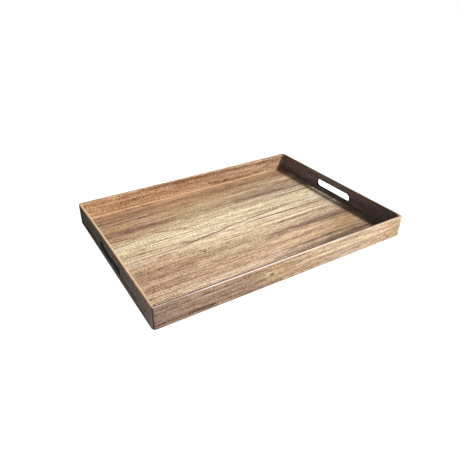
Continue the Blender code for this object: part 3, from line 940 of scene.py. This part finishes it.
def drawRim(tree, colour, field, along, across, inset):
    look = rimLook
    onRim = between(tree, across, *look["height"])
    rimColour = printGrain(tree, alongRamp(tree, along, wrapLook["rim"], wrapLook), field, wrapLook)
    colour = mixColour(tree, onRim, colour, rimColour)

    def rimHalf(ofWall, half):
        return times(tree, between(tree, inset, *half), times(tree, ofWall, onRim))

    onFront = fading(tree, along, *look["frontEnd"])
    onRight = within(tree, along, look["rightStart"], look["rightEnd"])
    onLeft = between(tree, along, *look["leftStart"])
    # painted highlight on the front rim's outer half
    paintedHighlight = within(tree, along, look["paintedHighlightRise"], look["paintedHighlightFall"])
    paintedHighlight = timesPlus(tree, paintedHighlight, look["paintedHighlightGain"], look["paintedHighlightLeast"])
    paintedHighlightZone = times(tree, times(tree, onFront, onRim), fading(tree, inset, *look["frontOuter"]))
    colour = tintBy(tree, colour, times(tree, paintedHighlight, paintedHighlightZone), 1.0, look["paintedHighlightTint"])
    pale = rimHalf(onLeft, look["leftInner"])
    colour = tintBy(tree, colour, pale, look["paleStrength"], look["paleTint"])
    # painted shade on the inner halves of the front and right rims
    dark = rimHalf(onFront, look["frontInner"])
    dark = calc(tree, "MAXIMUM", dark, rimHalf(onRight, look["rightInner"]))
    return tintBy(tree, colour, dark, look["paintedShadeStrength"], look["paintedShadeTint"])


def makeWrapFilm():
    material, tree, shader, field, colour, path = startWallFilm("wrapFilm", wrapLook)
    along, across, inset = path
    colour = drawSeam(tree, colour, along)
    # painted contact shadow along the foot of the outer walls
    foot = between(tree, across, *wrapLook["foot"])
    colour = tintBy(tree, colour, foot, wrapLook["footStrength"], wrapLook["footTint"])
    finishFilm(tree, shader, drawRim(tree, colour, field, along, across, inset), field)
    return material


liningLook = {
    "seed": 41.0, "tone": 1.08, "lap": 1602,
    "Streak": 1.3, "Band": 0.35, "Fibre": 1.3, "Figure": 0.7, "Speckle": 1.35, "Pore": 0.22,
    # the short walls' dark stops and the stop at the corner between the right and back walls hold painted
    # shade as well as print
    "ground": [
        (0, (178, 138, 104)), (440, (180, 140, 106)), (480, (113, 103, 102)), (792, (113, 103, 102)),
        (801, (130, 116, 110)), (808, (174, 142, 116)), (860, (183, 151, 120)), (960, (175, 140, 112)),
        (1060, (181, 141, 109)), (1160, (184, 144, 108)), (1262, (193, 151, 113)), (1280, (110, 92, 82)),
        (1600, (110, 92, 82)),
    ],
    "lines": [
        (900, 33, 1210, 35, 2, 5, 2, 0.65, (140, 98, 72)), (812, 33, 960, 35, -1, 3, 2, 0.5, (134, 98, 74)),
        (800, 20, 872, 4, 1, 6, 2, 0.6, (216, 184, 146)), (806, 32, 880, 13, 0, 1.8, 2, 0.6, (126, 88, 64)),
        (806, 25, 872, 8, 0, 1.6, 2, 0.5, (134, 96, 70)), (826, 37, 890, 21, 0, 1.6, 2, 0.5, (130, 92, 68)),
        (890, 22, 935, 14, 0, 2.0, 2, 0.5, (138, 100, 74)), (880, 9, 1000, 9, 1, 3.5, 3, 0.65, (132, 92, 68)),
        (968, 14, 1004, 17, 0, 2.4, 2, 0.6, (126, 84, 60)),
        (1010, 8, 1260, 9, 1, 4, 2, 0.45, (202, 158, 118)),
        (1040, 22, 1265, 24, -1, 1.6, 2, 0.5, (148, 106, 78)),
        (1120, 30, 1268, 31, 1, 1.5, 2, 0.45, (150, 108, 78)),
        (960, 26, 1120, 25, 1, 1.5, 2, 0.45, (146, 104, 76)),
    ],
    "knot": (956, 13, 4.0),
    "knotParts": [("Core", 0.85, (108, 70, 48))],
    # the pale line at the foot of the back wall
    "backStart": (0.806, 0.812), "backEnd": (1.260, 1.266),
    "foot": (0.0068, 0.0056), "footStrength": 0.9, "footTint": (238, 206, 164),
}


def makeLiningFilm():
    look = liningLook
    material, tree, shader, field, colour, path = startWallFilm("liningFilm", look)
    along, across = path[:2]
    onBack = within(tree, along, look["backStart"], look["backEnd"])
    foot = times(tree, onBack, between(tree, across, *look["foot"]))
    finishFilm(tree, shader, tintBy(tree, colour, foot, look["footStrength"], look["footTint"]), field)
    return material


speckledLooks = {
    # ground and fleck colours, flecks in a metre, roughness, depth of the relief, other sockets
    "blackFelt": ((26, 25, 26), (46, 44, 45), (900, 900, 900), 0.9, 0.0003, {}),
    "bandBlack": ((12, 12, 14), (24, 24, 27), (700, 700, 700), 0.7, 0.0001, {"Specular IOR Level": 0.15}),
    "fibreboard": ((150, 118, 84), (188, 158, 120), (700, 700, 220), 0.85, 0.0002, {}),
    "stripWood": ((196, 164, 120), (222, 196, 156), (500, 500, 40), 0.7, 0.0001, {}),
    "pinSteel": ((150, 150, 152), (184, 184, 186), (900, 900, 90), 0.35, 0.00003, {"Metallic": 1.0}),
}
speckle = {"cut": (0.35, 0.7), "varies": 0.2, "relief": 0.5}


def makeSpeckled(name):
    ground, fleck, scale, roughness, depth, constants = speckledLooks[name]
    material, tree, shader = startMaterial(name)
    scaled = addNode(tree, "Mapping", {"Vector": objectPlace(tree), "Scale": scale}).outputs[0]
    grit = noiseAt(tree, scaled, 4, 0.65)
    varies = speckle["varies"]
    feed(tree, shader, {
        "Base Color": mixColour(tree, between(tree, grit, *speckle["cut"]), seen(*ground), seen(*fleck)),
        "Roughness": timesPlus(tree, grit, varies, roughness - varies / 2),
        "Normal": bumpOf(tree, speckle["relief"], depth, grit), **constants})
    return material


# the pieces that are seen

slotBar = makeSlotBar()
wrap = makeOuterWrap(slotBar)
layGrainPath(wrap, halfLength, halfWidth, trayBuild["outerCorner"])
finishPiece(wrap, "outer_wrap", makeWrapFilm())
lining = makeInnerLining(slotBar)
layGrainPath(lining, innerHalfLength, innerHalfWidth, trayBuild["innerCornerCut"])
finishPiece(lining, "inner_lining", makeLiningFilm())
bpy.data.objects.remove(slotBar)
floorSheet = makeSheet("floorSheet", floorLow, floorHigh, floorShape, floorHigh[2])
finishPiece(floorSheet, "floor_sheet", makeFloorFilm())
felt = makeSheet("undersideSheet", undersideLow, undersideHigh, undersideShape, undersideLow[2])
finishPiece(felt, "underside_sheet", makeSpeckled("blackFelt"))
bandBlack = makeSpeckled("bandBlack")
for side, end in ((-1, "left"), (1, "right")):
    finishPiece(makeSlotBand(end + "SlotBand", side), end + "_slot_edging", bandBlack)


# the boards, corner strips and pins keep their own shapes and take better finishes

boardFinishes = {
    "_board": makeSpeckled("fibreboard"),
    "corner_strip": makeSpeckled("stripWood"),
    "_pin_": makeSpeckled("pinSteel"),
}
for cadPiece in bpy.data.objects:
    for mark, finish in boardFinishes.items():
        if mark in cadPiece.name:
            for slot in cadPiece.material_slots:
                slot.material = finish
print("boards, strips and pins finished")


# stage, light and camera

studio = {
    "key": {"from": (0.40, -0.61, 0.685), "distance": 4.0, "size": 0.66, "power": 203.0},
    "rim": {"from": (0.429, 0.731, 0.531), "distance": 1.6, "size": 0.5, "power": 4.0},
    "worldDiffuse": 0.19, "worldGlossy": 0.40, "worldTint": (0.92, 1.0, 1.08, 1.0),
}
groundLook = {
    "size": 6, "sunk": 0.0002,  # it lies this far below the tray
    "light": (0.30, 0.30, 0.30, 1.0), "dark": (0.288, 0.288, 0.288, 1.0), "flecks": (9, 9, 9),
    "glow": 1.0, "roughness": 0.9, "specular": 0.1,
    "closeBy": 0.002,  # clear to rays shorter than this
}
flagLook = {
    "height": 1.2, "length": 1.1,  # in slot heights and slot lengths
    "gap": 0.002, "light": (0.5, 0.5, 0.5, 1), "dark": (0.4, 0.4, 0.4, 1),
}
white = (1.0, 1.0, 1.0, 1.0)


def addAreaLight(name, settings):
    data = bpy.data.lights.new(name + "Light", "AREA")
    data.size = settings["size"]
    data.energy = settings["power"]
    light = bpy.data.objects.new(name + "Light", data)
    bpy.context.scene.collection.objects.link(light)
    light.location = settings["distance"] * Vector(settings["from"])
    light.rotation_euler = (-light.location).to_track_quat("-Z", "Y").to_euler()


def lightWorld():
    # white to the camera, dimmer and a little blue to what the tray picks up
    world = bpy.data.worlds.new("paleStudio")
    bpy.context.scene.world = world
    world.use_nodes = True
    tree = world.node_tree
    rays = addNode(tree, "LightPath").outputs
    extra = studio["worldGlossy"] - studio["worldDiffuse"]
    strength = timesPlus(tree, rays["Is Glossy Ray"], extra, studio["worldDiffuse"])
    feed(tree, tree.nodes["Background"], {
        "Strength": calc(tree, "MAXIMUM", rays["Is Camera Ray"], strength),
        "Color": mixColour(tree, rays["Is Camera Ray"], studio["worldTint"], white)})


def layGround():
    look = groundLook
    ground = freshSheet("ground", (look["size"], look["size"]), (0, 0, -look["sunk"]))
    material, tree, shader = startMaterial("groundPale")
    rays = addNode(tree, "LightPath").outputs
    scaled = addNode(tree, "Mapping", {"Vector": objectPlace(tree), "Scale": look["flecks"]}).outputs[0]
    # from below, and to what leaves the tray's underside, the ground is clear
    fromBelow = addNode(tree, "NewGeometry").outputs["Backfacing"]
    closeBy = calc(tree, "LESS_THAN", rays["Ray Length"], look["closeBy"])
    closeBy = times(tree, closeBy, minus(tree, 1.0, rays["Is Camera Ray"]))
    feed(tree, shader, {
        "Base Color": mixColour(tree, noiseAt(tree, scaled, 3), look["light"], look["dark"]),
        "Roughness": look["roughness"], "Specular IOR Level": look["specular"], "Emission Color": white,
        "Emission Strength": times(tree, rays["Is Camera Ray"], look["glow"]),
        "Alpha": minus(tree, 1.0, calc(tree, "MAXIMUM", fromBelow, closeBy))})
    ground.data.materials.append(material)


def hangFlag():
    # a flag outside the right slot, met by light alone, keeps the wall's shadow whole
    size = (flagLook["height"] * slotHeight, flagLook["length"] * slotLength)
    centre = (halfLength + flagLook["gap"], 0, slotMiddle)
    flag = freshSheet("lightFlag", size, centre, (0, math.radians(90), 0))
    flag.visible_camera = False
    flag.visible_diffuse = False
    flag.visible_glossy = False
    material, tree, shader = startMaterial("flagPale")
    colour = mixColour(tree, noiseAt(tree, objectPlace(tree)), flagLook["light"], flagLook["dark"])
    feed(tree, shader, {"Base Color": colour})
    flag.data.materials.append(material)


cameraView = {
    "azimuth": -29.267, "elevation": 32.260, "roll": -0.759,  # in degrees
    "distance": 0.81288, "aim": (-0.05496, 0.00328, 0.0), "lens": 35.153,
    "shift_x": 0.04676, "shift_y": 0.01219, "sensor_width": 36, "clip_start": 0.01,
}


def placeCamera():
    azimuth, elevation, roll = (math.radians(cameraView[name]) for name in ("azimuth", "elevation", "roll"))
    back = Vector((math.sin(azimuth) * math.cos(elevation), -math.cos(azimuth) * math.cos(elevation),
                   math.sin(elevation)))
    data = bpy.data.cameras.new("viewCamera")
    for name in ("lens", "shift_x", "shift_y", "sensor_width", "clip_start"):
        setattr(data, name, cameraView[name])
    camera = bpy.data.objects.new("viewCamera", data)
    bpy.context.scene.collection.objects.link(camera)
    turn = back.to_track_quat("Z", "Y") @ Quaternion((0, 0, 1), roll)
    place = Vector(cameraView["aim"]) + cameraView["distance"] * back
    camera.matrix_world = Matrix.LocRotScale(place, turn, None)
    bpy.context.scene.camera = camera


addAreaLight("key", studio["key"])
addAreaLight("rim", studio["rim"])
lightWorld()
layGround()
hangFlag()
placeCamera()
bpy.context.scene.view_settings.view_transform = "Standard"
print("studio ready")
